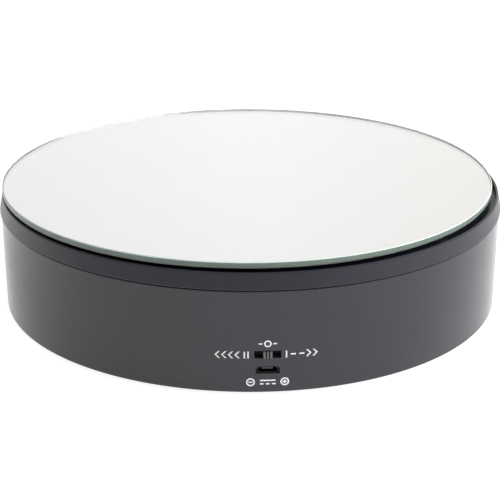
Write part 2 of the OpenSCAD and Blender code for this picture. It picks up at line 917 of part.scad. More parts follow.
module usb_contacts() {
    middle = (contact_count - 1) / 2;
    under_tongue = inlet_z - tongue_t / 2;
    color([0.85, 0.68, 0.3]) for (i = [0:contact_count - 1]) translate([(i - middle) * contact_pitch, 0, 0]) {
        block(
            [-contact_w / 2, tongue_y + 0.3, under_tongue - contact_t],
            [contact_w / 2, board_y - 1, under_tongue]
        );
    }
}

module switch_pin_places() {
    for (i = [-1.5, -0.5, 0.5, 1.5]) translate([i * pin_pitch, 0, switch_z]) children();
}

module switch_frame() {
    color([0.65, 0.65, 0.66]) difference() {
        switch_block(frame_w, frame_h, frame_y, board_y);
        switch_block(frame_w - 2 * frame_t, frame_h - 2 * frame_t, frame_y + frame_t, board_y + cut);
        switch_block(lever_w + 2 * knob_travel + 2 * free, frame_slot_h, frame_y - cut, frame_y + 1);
    }
}

module switch_base() {
    color([0.55, 0.4, 0.25]) difference() {
        switch_block(frame_w - 2 * frame_t, frame_h - 2 * frame_t, board_y - switch_base_t, board_y);
        switch_pin_places() block(
            [-pin_w / 2, board_y - switch_base_t - cut, -pin_w / 2],
            [pin_w / 2, board_y + cut, pin_w / 2]
        );
    }
}

module switch_pins() {
    color([0.8, 0.8, 0.78]) switch_pin_places() {
        block([-pin_w / 2, board_y - switch_base_t, -pin_w / 2], [pin_w / 2, pin_end_y, pin_w / 2]);
    }
}

// Ribbed knob on a shutter that keeps the drum's slot covered wherever the knob is
module switch_knob() {
    shutter_back = shutter_y + shutter_t;
    color([0.1, 0.1, 0.1]) difference() {
        union() {
            switch_block(knob_w, knob_h, knob_tip_y + knob_rib_h, shutter_back);
            switch_block(slot_w + 2 * knob_travel + 0.8, shutter_h, shutter_y, shutter_back);
            for (i = [-1:1]) translate([i * knob_rib_pitch, 0, 0]) {
                switch_block(knob_rib_w, knob_h, knob_tip_y, knob_tip_y + 1);
            }
        }
        switch_block(lever_w, lever_h, lever_y, shutter_back + cut);
    }
}

module switch_lever() {
    color([0.9, 0.9, 0.88]) {
        switch_block(lever_w, lever_h, lever_y, carriage_y + cut);
        switch_block(carriage_w, carriage_h, carriage_y, carriage_y + carriage_t);
    }
}

module switch_contact() {
    contact_y = carriage_y + carriage_t;
    color([0.85, 0.55, 0.3]) {
        switch_block(4.4, 2, contact_y, contact_y + contact_strip_t);
        for (side = [-1, 1]) translate([side * pin_pitch / 2, 0, 0]) {
            switch_block(0.8, 1.2, contact_y + contact_strip_t / 2, board_y - switch_base_t - 0.1);
        }
    }
}

module resistor_ends() {
    for (side = [-1, 1]) translate([resistor_x + side * (resistor_l / 2 + 1), 0, resistor_z]) children();
}

module speed_resistor() {
    body_y = board_back + resistor_r + 0.2;
    half = resistor_l / 2 + 1 + resistor_lead_r;
    color([0.45, 0.6, 0.7]) {
        translate([resistor_x - resistor_l / 2, body_y, resistor_z]) rotate([0, 90, 0]) {
            cylinder(r = resistor_r, h = resistor_l);
        }
        translate([resistor_x - half, body_y, resistor_z]) rotate([0, 90, 0]) {
            cylinder(r = resistor_lead_r, h = 2 * half);
        }
        resistor_ends() translate([0, board_y - 0.4, 0]) to_back() {
            cylinder(r = resistor_lead_r, h = body_y - board_y + 0.4);
        }
    }
}

module capacitor() {
    color([0.15, 0.2, 0.3]) translate([capacitor_x, board_back, capacitor_z]) to_back() {
        cylinder(r = capacitor_r, h = capacitor_l);
    }
}

// ---- Leads ----

// A point of the smooth curve through the route, t of the way from point i to the next
function on_route(route, i, t) =
    let (
        last = len(route) - 1,
        p = route[max(i - 1, 0)], q = route[i], r = route[i + 1], s = route[min(i + 2, last)]
    )
    q + t * (r - p) / 2 + t * t * (2 * p - 5 * q + 4 * r - s) / 2 + t * t * t * (3 * (q - r) + s - p) / 2;

function route_points(route) =
    let (last = len(route) - 1)
    [
        for (i = [0:last - 1]) for (k = [0:lead_steps - 1]) on_route(route, i, k / lead_steps),
        route[last]
    ];

function unit(v) = v / norm(v);

module lead(route) {
    path = route_points(route);
    last = len(path) - 1;
    rings = [
        for (i = [0:last])
        let (
            along = (i == 0 || i == last) ? [0, 1, 0] : unit(path[i + 1] - path[i - 1]),
            side = unit(cross(along, [0, 0, 1])),
            up = cross(side, along)
        )
        for (k = [0:lead_sides - 1])
        let (a = 360 * (k + 0.5) / lead_sides)
        path[i] + lead_r * (cos(a) * side + sin(a) * up)
    ];
    walls = [
        for (i = [0:last - 1]) for (k = [0:lead_sides - 1])
        let (m = (k + 1) % lead_sides, low = i * lead_sides, high = low + lead_sides)
        [low + m, low + k, high + k, high + m]
    ];
    polyhedron(
        points = rings,
        faces = concat(
            [[for (k = [0:lead_sides - 1]) k]],
            walls,
            [[for (k = [lead_sides - 1:-1:0]) last * lead_sides + k]]
        )
    );
}

module red_lead() {
    color("red") lead(red_route);
}

module black_lead() {
    color([0.08, 0.08, 0.08]) lead(black_route);
}

mirror_glass();
mirror_coating();
mirror_tape();
platter();
drive_hub();
hub_screws();
shaft_screw();
output_shaft();
output_gear();
shaft_clip();
bearing_cage();
bearing_balls();
compound_gear_1();
compound_gear_2();
compound_gear_3();
gear_pin();
upper_bush();
lower_bush();
gearbox_case();
gearbox_cover();
dust_cap();
gearbox_screws();
cover_screws();
motor_can();
motor_bushes();
motor_magnets();
motor_rotor();
motor_shaft();
motor_end_cap();
motor_terminals();
motor_screws();
motor_pinion();
housing();
base_plate();
base_screws();
rubber_feet();
circuit_board();
board_screws();
usb_shell();
usb_tongue();
usb_contacts();
switch_frame();
switch_base();
switch_pins();
switch_knob();
switch_lever();
switch_contact();
speed_resistor();
capacitor();
red_lead();
black_lead();
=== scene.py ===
"""The looks of a motorised turntable display stand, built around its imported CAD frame.

Lengths in this file are millimetres until a mesh is made, and the frame's own metres after that.
"""

import json
import math

import bmesh
import bpy
from mathutils import Matrix, Vector


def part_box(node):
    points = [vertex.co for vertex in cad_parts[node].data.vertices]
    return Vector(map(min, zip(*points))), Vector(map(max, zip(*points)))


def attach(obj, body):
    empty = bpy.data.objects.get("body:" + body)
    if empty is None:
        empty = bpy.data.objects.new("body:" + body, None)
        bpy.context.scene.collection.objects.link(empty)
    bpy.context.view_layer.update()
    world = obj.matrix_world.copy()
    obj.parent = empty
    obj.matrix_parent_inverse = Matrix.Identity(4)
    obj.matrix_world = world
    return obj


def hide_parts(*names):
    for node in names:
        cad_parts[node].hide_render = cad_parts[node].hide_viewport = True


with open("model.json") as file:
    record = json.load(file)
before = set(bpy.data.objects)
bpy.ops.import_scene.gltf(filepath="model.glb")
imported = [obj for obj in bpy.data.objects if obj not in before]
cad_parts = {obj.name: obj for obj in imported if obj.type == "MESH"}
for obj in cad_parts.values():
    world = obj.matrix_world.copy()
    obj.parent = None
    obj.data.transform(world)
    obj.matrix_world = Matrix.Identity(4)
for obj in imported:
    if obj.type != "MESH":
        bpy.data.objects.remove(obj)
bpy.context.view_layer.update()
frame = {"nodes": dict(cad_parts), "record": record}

MM = 0.001
SPIN_STEPS = 384
HOLE_STEPS = 48
SHARP_ANGLE = math.radians(32)
HOLD = 0.12
ACROSS = Matrix.Rotation(math.radians(90), 4, "X")  # turns a shape made along +Z to run along -Y


def box(node):
    low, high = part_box(node)
    return low / MM, high / MM


# ---- Sizes, from the frame where it gives them ----

platter_low, platter_high = box("platter")
drum_low, drum_high = box("housing")
glass_low, glass_high = box("mirror_glass")
coat_low, coat_high = box("mirror_coating")
tape_low, tape_high = box("mirror_tape")
base_low, base_high = box("base_plate")
foot_top = box("rubber_feet")[1].z
knob_low, knob_high = box("switch_knob")
shell_low, shell_high = box("usb_shell")

platter_r = 100.0
middle_z = platter_high.z
platter_under = middle_z - 2.4
skirt_z = platter_low.z
skirt_inner_r = 98.0
rim_z = middle_z - 0.3
rim_outer_r = 98.7
rim_inner_r = 97.7
middle_r = 89.5
channel_z = middle_z - 2.2
channel_under = channel_z - 1.8

drum_z = drum_low.z
deck_z = skirt_z - 0.3
deck_under = deck_z - 2.4
rim_r = 99.4
wall_foot_r = 99.1
wall_inner_r = 96.8
wall_round = 0.5
lip_outer_r = 97.5
lip_inner_r = 95.7
lip_top = drum_high.z
collar_hole_r = 7.05

race_r = 68.0
race_z = (deck_z + platter_under) / 2
groove_r = 2.55
groove_half = math.sqrt(groove_r**2 - (race_z - deck_z) ** 2)

glass_r = (glass_high.x - glass_low.x) / 2
glass_centre = ((glass_high.x + glass_low.x) / 2, (glass_high.y + glass_low.y) / 2)
glass_bevel = 0.3

# The gearbox hangs from the deck by two screws around the spin axis and one around its gears' axle
ear_reach, axle_y = 21.8, 20.0
ear_turns = [(math.radians(turn), y) for turn, y in ((180, 0), (-30, 0), (110, axle_y))]
ear_places = [(ear_reach * math.cos(a), y + ear_reach * math.sin(a)) for a, y in ear_turns]
boss_reach = 84.0
boss_turns = [math.radians(45 + 90 * k) for k in range(4)]
boss_places = [(boss_reach * math.cos(a), boss_reach * math.sin(a)) for a in boss_turns]
foot_reach = 82.0
foot_places = [(foot_reach, 0), (0, foot_reach), (-foot_reach, 0), (0, -foot_reach)]
foot_r = 7.0
screw_hole_r = 1.4
switch_z = 15.6
inlet_z = 9.7
board_screw_x = 14.5
board_screw_z = 12.8


def wall_at(z):
    """The radius of the drum's tapered wall at a height."""
    return wall_foot_r + (rim_r - wall_foot_r) * (z - drum_z) / (deck_z - drum_z)


# ---- Shapes: each is (corners, faces), in millimetres ----


def outline(*corners, steps=6):
    """A closed outline from corners (x, y) or (x, y, rounding), with each rounding as an arc.

    A point is held just before and after each arc, so that smooth shading leaves the flats flat.
    """
    points = []
    for i, corner in enumerate(corners):
        here = Vector(corner[:2])
        if len(corner) < 3:
            points.append(here)
            continue
        before = (Vector(corners[i - 1][:2]) - here).normalized()
        after = (Vector(corners[(i + 1) % len(corners)][:2]) - here).normalized()
        half = before.angle(after) / 2
        reach = corner[2] / math.tan(half)
        middle = here + (before + after).normalized() * corner[2] / math.sin(half)
        start = here + before * reach - middle
        sweep = start.angle_signed(here + after * reach - middle)
        points.append(here + before * (reach + HOLD * corner[2]))
        points += [middle + Matrix.Rotation(-sweep * k / steps, 2) @ start for k in range(steps + 1)]
        points.append(here + after * (reach + HOLD * corner[2]))
    return points


def arc(centre, radius, start, end, steps=10):
    turns = [math.radians(start + (end - start) * k / steps) for k in range(steps + 1)]
    return [Vector((centre[0] + radius * math.cos(a), centre[1] + radius * math.sin(a))) for a in turns]


def circle(radius, steps=HOLE_STEPS):
    return arc((0, 0), radius, 0, 360 * (steps - 1) / steps, steps - 1)


def rectangle(w, h, rounding):
    x, y = w / 2, h / 2
    return outline((-x, -y, rounding), (x, -y, rounding), (x, y, rounding), (-x, y, rounding), steps=4)


def revolved(profile, steps=SPIN_STEPS):
    """The solid that a closed outline of (radius, height) makes around the Z axis."""
    corners, rings, faces = [], [], []
    for r, z in profile:
        first = len(corners)
        if r < 1e-6:
            corners.append((0, 0, z))
            rings.append([first] * steps)
            continue
        turns = [2 * math.pi * k / steps for k in range(steps)]
        corners += [(r * math.cos(a), r * math.sin(a), z) for a in turns]
        rings.append(list(range(first, first + steps)))
    for here, there in zip(rings, rings[1:] + rings[:1]):
        for k in range(steps):
            m = (k + 1) % steps
            face = list(dict.fromkeys((here[k], here[m], there[m], there[k])))
            if len(face) > 2:
                faces.append(face)
    return corners, faces


def prism(loop, low, high):
    """A closed outline of (x, y), raised from one height to another."""
    n = len(loop)
    corners = [(x, y, z) for z in (low, high) for x, y in loop]
    sides = [(k, (k + 1) % n, n + (k + 1) % n, n + k) for k in range(n)]
    return corners, [tuple(range(n))[::-1], tuple(range(n, 2 * n)), *sides]


def block(low, high):
    x, y = sorted((low[0], high[0])), sorted((low[1], high[1]))
    loop = [(x[0], y[0]), (x[1], y[0]), (x[1], y[1]), (x[0], y[1])]
    return prism(loop, low[2], high[2])


def at(x, y, z=0.0):
    return Matrix.Translation((x, y, z))


def turned(degrees):
    return Matrix.Rotation(math.radians(degrees), 4, "Z")


# ---- Objects ----


def tidy(piece):
    """Joins doubled corners, points every face outwards, and shades smooth but for sharp edges."""
    mesh = bmesh.new()
    mesh.from_mesh(piece.data)
    bmesh.ops.remove_doubles(mesh, verts=mesh.verts, dist=0.5e-6)
    bmesh.ops.dissolve_degenerate(mesh, edges=mesh.edges, dist=0.5e-6)
    bmesh.ops.recalc_face_normals(mesh, faces=mesh.faces)
    mesh.to_mesh(piece.data)
    mesh.free()
    piece.data.shade_smooth()
    piece.data.set_sharp_from_angle(angle=SHARP_ANGLE)
    return piece


def build(name, *shapes):
    """One object from shapes, each alone or as (shape, where it goes)."""
    corners, faces = [], []
    for shape in shapes:
        (points, sides), place = shape if isinstance(shape[1], Matrix) else (shape, Matrix())
        first = len(corners)
        corners += [place @ Vector(p) * MM for p in points]
        faces += [[first + k for k in side] for side in sides]
    mesh = bpy.data.meshes.new(name)
    mesh.from_pydata(corners, [], faces)
    piece = bpy.data.objects.new(name, mesh)
    bpy.context.scene.collection.objects.link(piece)
    return tidy(piece)


def applied(piece):
    graph = bpy.context.evaluated_depsgraph_get()
    mesh = bpy.data.meshes.new_from_object(piece.evaluated_get(graph))
    piece.modifiers.clear()
    piece.data = mesh
    return tidy(piece)


def combine(piece, tool, operation):
    change = piece.modifiers.new("combine", "BOOLEAN")
    change.operation = operation
    change.solver = "EXACT"
    change.object = tool
    applied(piece)
    bpy.data.objects.remove(tool)


def add(piece, *shapes):
    combine(piece, build("tool", *shapes), "UNION")


def cut(piece, *shapes):
    combine(piece, build("tool", *shapes), "DIFFERENCE")


def soften(piece, width, segments=3, angle=40):
    """Rounds the edges that turn by more than an angle."""
    change = piece.modifiers.new("soften", "BEVEL")
    change.width = width * MM
    change.segments = segments
    change.limit_method = "ANGLE"
    change.angle_limit = math.radians(angle)
    change.use_clamp_overlap = True
    return applied(piece)


# ---- Materials ----

MIX_FACTOR, MIX_FIRST, MIX_SECOND, MIX_COLOUR = 0, 6, 7, 2  # a colour mix's sockets


def mixed(nodes, links, factor, dark, light):
    mix = nodes.new("ShaderNodeMix")
    mix.data_type = "RGBA"
    mix.inputs[MIX_FIRST].default_value = (*dark, 1)
    mix.inputs[MIX_SECOND].default_value = (*light, 1)
    links.new(factor, mix.inputs[MIX_FACTOR])
    return mix.outputs[MIX_COLOUR]


def lightened(nodes, links, tone, factor, colour, gain, lift):
    """A tone that turns, by a factor, into a lighter shade of a colour."""
    mix = nodes.new("ShaderNodeMix")
    mix.data_type = "RGBA"
    mix.inputs[MIX_SECOND].default_value = (*[min(1, gain * c + lift) for c in colour], 1)
    links.new(factor, mix.inputs[MIX_FACTOR])
    links.new(tone, mix.inputs[MIX_FIRST])
    return mix.outputs[MIX_COLOUR]


def noise(nodes, links, place, size, detail=3.0, stretch=(1, 1, 1)):
    """Noise with features of a size in millimetres, longer along an axis with a stretch over 1."""
    scaling = nodes.new("ShaderNodeMapping")
    scaling.inputs["Scale"].default_value = [1 / MM / s for s in stretch]
    links.new(place, scaling.inputs["Vector"])
    made = nodes.new("ShaderNodeTexNoise")
    made.inputs["Scale"].default_value = 1 / size
    made.inputs["Detail"].default_value = detail
    links.new(scaling.outputs[0], made.inputs["Vector"])
    return made.outputs["Fac"]


def ranged(nodes, links, value, start, end, low, high):
    made = nodes.new("ShaderNodeMapRange")
    for name, number in (("From Min", start), ("From Max", end), ("To Min", low), ("To Max", high)):
        made.inputs[name].default_value = number
    links.new(value, made.inputs["Value"])
    return made.outputs["Result"]


def finish(
    name, colour, rough, metal=0.0, vary=0.10, patch=9.0, rough_vary=0.06, grain=0.35, relief=0.012,
    stretch=(1, 1, 1), wear=0.0, speck=0.0, **sockets,
):
    """A surface with patchy colour and gloss, a fine relief and, if asked, worn edges and specks.

    vary and rough_vary are how far colour and roughness stray, patch and grain are the sizes of the
    patches and of the relief, relief is its depth, all lengths in millimetres.
    """
    material = bpy.data.materials.new(name)
    material.use_nodes = True
    nodes, links = material.node_tree.nodes, material.node_tree.links
    shader = nodes["Principled BSDF"]
    place = nodes.new("ShaderNodeTexCoord").outputs["Object"]
    patches = ranged(nodes, links, noise(nodes, links, place, patch, 4, stretch), 0.3, 0.7, 0, 1)
    tone = mixed(
        nodes, links, patches, [c * (1 - vary) for c in colour], [min(1, c * (1 + vary)) for c in colour]
    )
    gloss = ranged(
        nodes, links, noise(nodes, links, place, patch / 3, 5, stretch), 0.3, 0.7,
        max(0.01, rough - rough_vary), min(1, rough + rough_vary),
    )
    if wear:
        sharpness = nodes.new("ShaderNodeNewGeometry").outputs["Pointiness"]
        edge = ranged(nodes, links, sharpness, 0.52, 0.62, 0, wear)
        tone = lightened(nodes, links, tone, edge, colour, 2.2, 0.03)
    if speck:
        dots = ranged(nodes, links, noise(nodes, links, place, 0.6, 1), 0.68, 0.72, 0, speck)
        tone = lightened(nodes, links, tone, dots, colour, 1.6, 0.02)
    links.new(tone, shader.inputs["Base Color"])
    links.new(gloss, shader.inputs["Roughness"])
    if relief:
        bump = nodes.new("ShaderNodeBump")
        bump.inputs["Strength"].default_value = 0.6
        bump.inputs["Distance"].default_value = relief * MM
        links.new(noise(nodes, links, place, grain, 2, stretch), bump.inputs["Height"])
        links.new(bump.outputs[0], shader.inputs["Normal"])
    shader.inputs["Metallic"].default_value = metal
    for socket, value in sockets.items():
        shader.inputs[socket.replace("_", " ")].default_value = value
    return material


GLASS_IOR = 1.52
ALONG_Z = (1, 1, 14)
FINISHES = {
    "drum_plastic": dict(
        colour=(0.0112, 0.0115, 0.0158), rough=0.18, vary=0.06, patch=22, rough_vary=0.015, grain=0.3,
        relief=0.004, wear=0.35, speck=0.12,
    ),
    "platter_plastic": dict(
        colour=(0.0075, 0.008, 0.0135), rough=0.36, vary=0.06, patch=18, rough_vary=0.02, grain=0.3,
        relief=0.006, wear=0.25, speck=0.1,
    ),
    "base_plastic": dict(
        colour=(0.045, 0.045, 0.047), rough=0.55, patch=14, grain=0.5, relief=0.02, wear=0.3,
    ),
    "knob_plastic": dict(
        colour=(0.055, 0.055, 0.057), rough=0.38, patch=2, grain=0.15, relief=0.006, wear=0.5,
    ),
    "mirror_silver": dict(
        colour=(0.968, 0.958, 0.954), rough=0.015, metal=1, vary=0.004, patch=40, rough_vary=0.005,
        relief=0,
    ),
    "foam_tape": dict(colour=(0.028, 0.028, 0.028), rough=0.9, patch=3, grain=0.25, relief=0.08),
    "rubber": dict(colour=(0.030, 0.030, 0.030), rough=0.75, patch=4, grain=0.2, relief=0.02, wear=0.4),
    "ball_steel": dict(
        colour=(0.75, 0.76, 0.78), rough=0.09, metal=1, vary=0.03, rough_vary=0.03, relief=0,
    ),
    "screw_steel": dict(
        colour=(0.60, 0.60, 0.60), rough=0.30, metal=1, patch=1.5, grain=0.15, relief=0.008, wear=0.5,
    ),
    "shaft_steel": dict(
        colour=(0.62, 0.62, 0.63), rough=0.24, metal=1, patch=2, grain=0.08, relief=0.003,
        stretch=(1, 1, 0.3),
    ),
    "clip_steel": dict(colour=(0.12, 0.12, 0.125), rough=0.4, metal=1, patch=1.5, grain=0.1, relief=0.004),
    "bronze": dict(
        colour=(0.52, 0.33, 0.13), rough=0.45, metal=1, patch=1.2, grain=0.12, relief=0.02, speck=0.3,
    ),
    "gear_acetal": dict(
        colour=(0.80, 0.78, 0.70), rough=0.33, vary=0.03, patch=6, relief=0.004, Subsurface_Weight=0.1,
        Subsurface_Scale=0.001,
    ),
    "pinion_brass": dict(
        colour=(0.70, 0.50, 0.20), rough=0.28, metal=1, patch=1.5, grain=0.1, relief=0.004,
    ),
    "gearbox_plastic": dict(
        colour=(0.42, 0.43, 0.44), rough=0.48, vary=0.04, patch=10, grain=0.4, relief=0.012, wear=0.3,
    ),
    "hub_plastic": dict(colour=(0.62, 0.62, 0.60), rough=0.42, vary=0.04, patch=6, relief=0.01, wear=0.3),
    "cage_plastic": dict(
        colour=(0.72, 0.72, 0.67), rough=0.38, vary=0.04, patch=8, relief=0.008, Subsurface_Weight=0.15,
        Subsurface_Scale=0.0012,
    ),
    "can_steel": dict(
        colour=(0.62, 0.62, 0.61), rough=0.30, metal=1, patch=3, grain=0.25, relief=0.004,
        stretch=ALONG_Z,
    ),
    "magnet": dict(colour=(0.06, 0.06, 0.068), rough=0.6, patch=2, grain=0.2, relief=0.02),
    "copper": dict(colour=(0.62, 0.24, 0.10), rough=0.32, metal=1, patch=1.2, grain=0.12, relief=0.02),
    "cap_nylon": dict(colour=(0.80, 0.80, 0.76), rough=0.42, vary=0.03, patch=5, relief=0.008),
    "tinned": dict(colour=(0.66, 0.66, 0.64), rough=0.34, metal=1, patch=1.5, grain=0.2, relief=0.006),
    "board": dict(
        colour=(0.016, 0.13, 0.055), rough=0.30, vary=0.12, patch=2.5, grain=0.25, relief=0.01,
        stretch=(1, 1, 0.4),
    ),
    "phenolic": dict(colour=(0.20, 0.10, 0.04), rough=0.5, patch=1.5, relief=0.01),
    "socket_steel": dict(
        colour=(0.045, 0.045, 0.047), rough=0.42, metal=1, patch=1.5, grain=0.1, relief=0.004,
    ),
    "socket_plastic": dict(colour=(0.05, 0.05, 0.05), rough=0.45, patch=1, grain=0.15, relief=0.006),
    "gold": dict(colour=(0.80, 0.58, 0.22), rough=0.25, metal=1, patch=0.8, grain=0.1, relief=0.002),
    "capacitor": dict(colour=(0.03, 0.035, 0.07), rough=0.25, patch=3, relief=0.003),
    "red_insulation": dict(colour=(0.42, 0.012, 0.012), rough=0.38, patch=3, relief=0.006),
    "black_insulation": dict(colour=(0.018, 0.018, 0.018), rough=0.38, patch=3, relief=0.006),
}
materials = {name: finish(name, **values) for name, values in FINISHES.items()}


def banded_resistor():
    """Blue lacquer with four colour bands across the resistor's length."""
    lacquer = (0.10, 0.28, 0.42)
    material = finish("resistor", lacquer, 0.3, patch=1.5, relief=0.006)
    nodes, links = material.node_tree.nodes, material.node_tree.links
    low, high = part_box("speed_resistor")
    split = nodes.new("ShaderNodeSeparateXYZ")
    links.new(nodes.new("ShaderNodeTexCoord").outputs["Object"], split.inputs[0])
    along = ranged(nodes, links, split.outputs["X"], low.x, high.x, 0, 1)
    ramp = nodes.new("ShaderNodeValToRGB")
    ramp.color_ramp.interpolation = "CONSTANT"
    band_width = 0.04
    brown, black, red, gold = (0.25, 0.06, 0.02), (0.01, 0.01, 0.01), (0.5, 0.02, 0.01), (0.6, 0.4, 0.1)
    first, last = ramp.color_ramp.elements
    first.color = last.color = (*lacquer, 1)
    last.position = 0.999
    for start, colour in ((0.32, brown), (0.42, black), (0.52, red), (0.66, gold)):
        ramp.color_ramp.elements.new(start).color = (*colour, 1)
        ramp.color_ramp.elements.new(start + band_width).color = (*lacquer, 1)
    links.new(along, ramp.inputs[0])
    links.new(ramp.outputs[0], nodes["Principled BSDF"].inputs["Base Color"])
    return material


materials["resistor"] = banded_resistor()
clear_glass = finish(
    "clear_glass", (0.985, 0.995, 0.988), 0.004, vary=0.002, patch=60, rough_vary=0.003, relief=0,
    IOR=GLASS_IOR, Transmission_Weight=1.0,
)
ground_edge = finish(
    "ground_edge", (0.22, 0.30, 0.255), 0.4, vary=0.08, patch=7, grain=0.25, relief=0.01, stretch=(1, 1, 0.5),
    IOR=GLASS_IOR, Transmission_Weight=0.7,
)
# A pale mint tone for the upper bevel: partly the glass's own green, partly a painted highlight along the rim
bevel_tint_painted_highlight = finish(
    "bevel_tint_painted_highlight", (0.36, 0.43, 0.39), 0.22, vary=0.05, patch=5, relief=0.003, IOR=GLASS_IOR
)
# Near-black painted shade for the knob's groove floors and for its parts inside the slot
knob_painted_shade = finish("knob_painted_shade", (0.008, 0.008, 0.008), 0.7, patch=1, grain=0.1, relief=0.01)
back_paint = finish("back_paint", (0.14, 0.13, 0.12), 0.6, patch=12, grain=0.3, relief=0.01)
ink = finish("ink", (0.52, 0.52, 0.53), 0.5, vary=0.08, patch=1.2, grain=0.2, relief=0.004)
materials["mirror_glass"] = clear_glass


def dress(piece, body, slot, *nodes, material=None):
    """Gives a piece its material, by default the finish of its slot in the record, puts it on its body and
    hides the CAD nodes it stands for.
    """
    if not piece.data.materials:
        piece.data.materials.append(material or materials[slot])
    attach(piece, body)
    if nodes:
        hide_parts(*nodes)
    return piece


# ---- Drum ----


def make_drum():
    """The drum: a tapered wall, a deck with the balls' groove, bosses and ribs, a slot and an inlet."""
    groove = arc((race_r, race_z), groove_r, *(
        math.degrees(math.atan2(deck_z - race_z, side * groove_half)) for side in (1, -1)
    ))
    near_opening = 2.0  # rings here keep the wall's shading even beside the openings
    rings = [(wall_at(z), z) for z in (
        inlet_z - near_opening, inlet_z + near_opening, switch_z - near_opening, switch_z + near_opening
    )]
    drum = build("drum", revolved(outline(
        (wall_inner_r, drum_z), (wall_foot_r, drum_z, wall_round), *rings, (rim_r, deck_z, wall_round),
        (lip_outer_r, deck_z, 0.25), (lip_outer_r, lip_top, 0.3), (lip_inner_r, lip_top, 0.3),
        (lip_inner_r, deck_z, 0.25), *groove, (collar_hole_r, deck_z, 0.3), (collar_hole_r, deck_under),
        (wall_inner_r, deck_under, 1.0),
    )))
    boss_r, boss_low, boss_hole_r, boss_hole_top = 4.0, 5.4, 1.5, 15.4
    bosses = [(prism(circle(boss_r), boss_low, deck_under + 0.2), at(x, y)) for x, y in boss_places]
    rib_count, rib_inner, rib_half, rib_drop = 8, 46, 0.8, 4
    rib = block((rib_inner, -rib_half, deck_under - rib_drop), (wall_inner_r + 1, rib_half, deck_under + 0.1))
    ribs = [(rib, turned(360 / rib_count * (k + 0.5))) for k in range(rib_count)]
    board_places = [at(x, 0, board_screw_z) @ ACROSS for x in (-board_screw_x, board_screw_x)]
    board_boss_r, board_hole_r, board_face, board_hole_end = 2.8, 1.0, 91.4, 96.2
    board_boss = prism(circle(board_boss_r), board_face, wall_inner_r + 0.4)
    board_bosses = [(board_boss, place) for place in board_places]
    add(drum, *bosses, *ribs, *board_bosses)
    inside, outside = 94, 102  # a cut through the front wall starts and ends clear of it
    inlet = outline(
        (-4.2, -1.45, 0.35), (4.2, -1.45, 0.35), (4.2, 0.65, 0.3), (3.4, 1.45, 0.3), (-3.4, 1.45, 0.3),
        (-4.2, 0.65, 0.3), steps=4,
    )
    cut(
        drum,
        *[(prism(circle(boss_hole_r), boss_low - 0.4, boss_hole_top), at(x, y)) for x, y in boss_places],
        *[(prism(circle(screw_hole_r), deck_under - 0.2, deck_z + 0.2), at(x, y)) for x, y in ear_places],
        *[(prism(circle(board_hole_r), board_face - 0.2, board_hole_end), place) for place in board_places],
        (prism(rectangle(9.4, 2.9, 0.35), inside, outside), at(0, 0, switch_z) @ ACROSS),
        (prism(inlet, inside, outside), at(0, 0, inlet_z) @ ACROSS),
    )
    return dress(drum, "stand", "drum_plastic", "housing")


def make_base():
    """The base plate: pillars and posts for the leads on top, recesses for the feet and grooves below."""
    bottom, base_r = base_low.z, base_high.x
    top = bottom + 2.2
    base = build("base_cover", revolved(outline(
        (0, bottom), (base_r, bottom, 0.4), (base_r, top, 0.3), (0, top)
    )))
    pillar_r, pillar_h, post_h, post_half = 6, 2, 3, 0.6
    pillars = [(prism(circle(pillar_r), bottom + 0.1, top + pillar_h), at(x, y)) for x, y in boss_places]
    posts = [
        block((x - post_half, -51.5, top - 0.1), (x + post_half, -48.5, top + post_h)) for x in (5, 10.2, 16)
    ]
    add(base, *pillars, *posts)
    recess_r, recess_depth, groove_w, groove_depth = foot_r + 0.1, 0.6, 1, 0.5
    head_r, head_depth, shank_r = 3.2, 2, 1.65
    cut(
        base,
        *[(prism(circle(recess_r), bottom - 1, bottom + recess_depth), at(x, y)) for x, y in foot_places],
        *[(prism(circle(head_r), bottom - 1, bottom + head_depth), at(x, y)) for x, y in boss_places],
        *[(prism(circle(shank_r), bottom + 1, top + pillar_h + 1), at(x, y)) for x, y in boss_places],
        *[revolved(outline(
            (r, bottom - 1), (r + groove_w, bottom - 1), (r + groove_w, bottom + groove_depth),
            (r, bottom + groove_depth),
        ), steps=192) for r in (40, 60)],
    )
    return dress(base, "stand", "base_plastic", "base_plate")


def make_feet():
    """Four pads, each dished underneath between two raised rings."""
    foot = revolved(outline(
        (0, 0.25), (2.2, 0.25), (2.6, 0, 0.1), (3.6, 0, 0.1), (4.0, 0.3), (4.8, 0.3), (5.2, 0, 0.1),
        (foot_r, 0, 0.4), (foot_r, foot_top), (0, foot_top), steps=4,
    ), steps=96)
    feet = build("feet", *[(foot, at(x, y)) for x, y in foot_places])
    return dress(feet, "stand", "rubber", "rubber_feet")


# ---- Platter and mirror ----


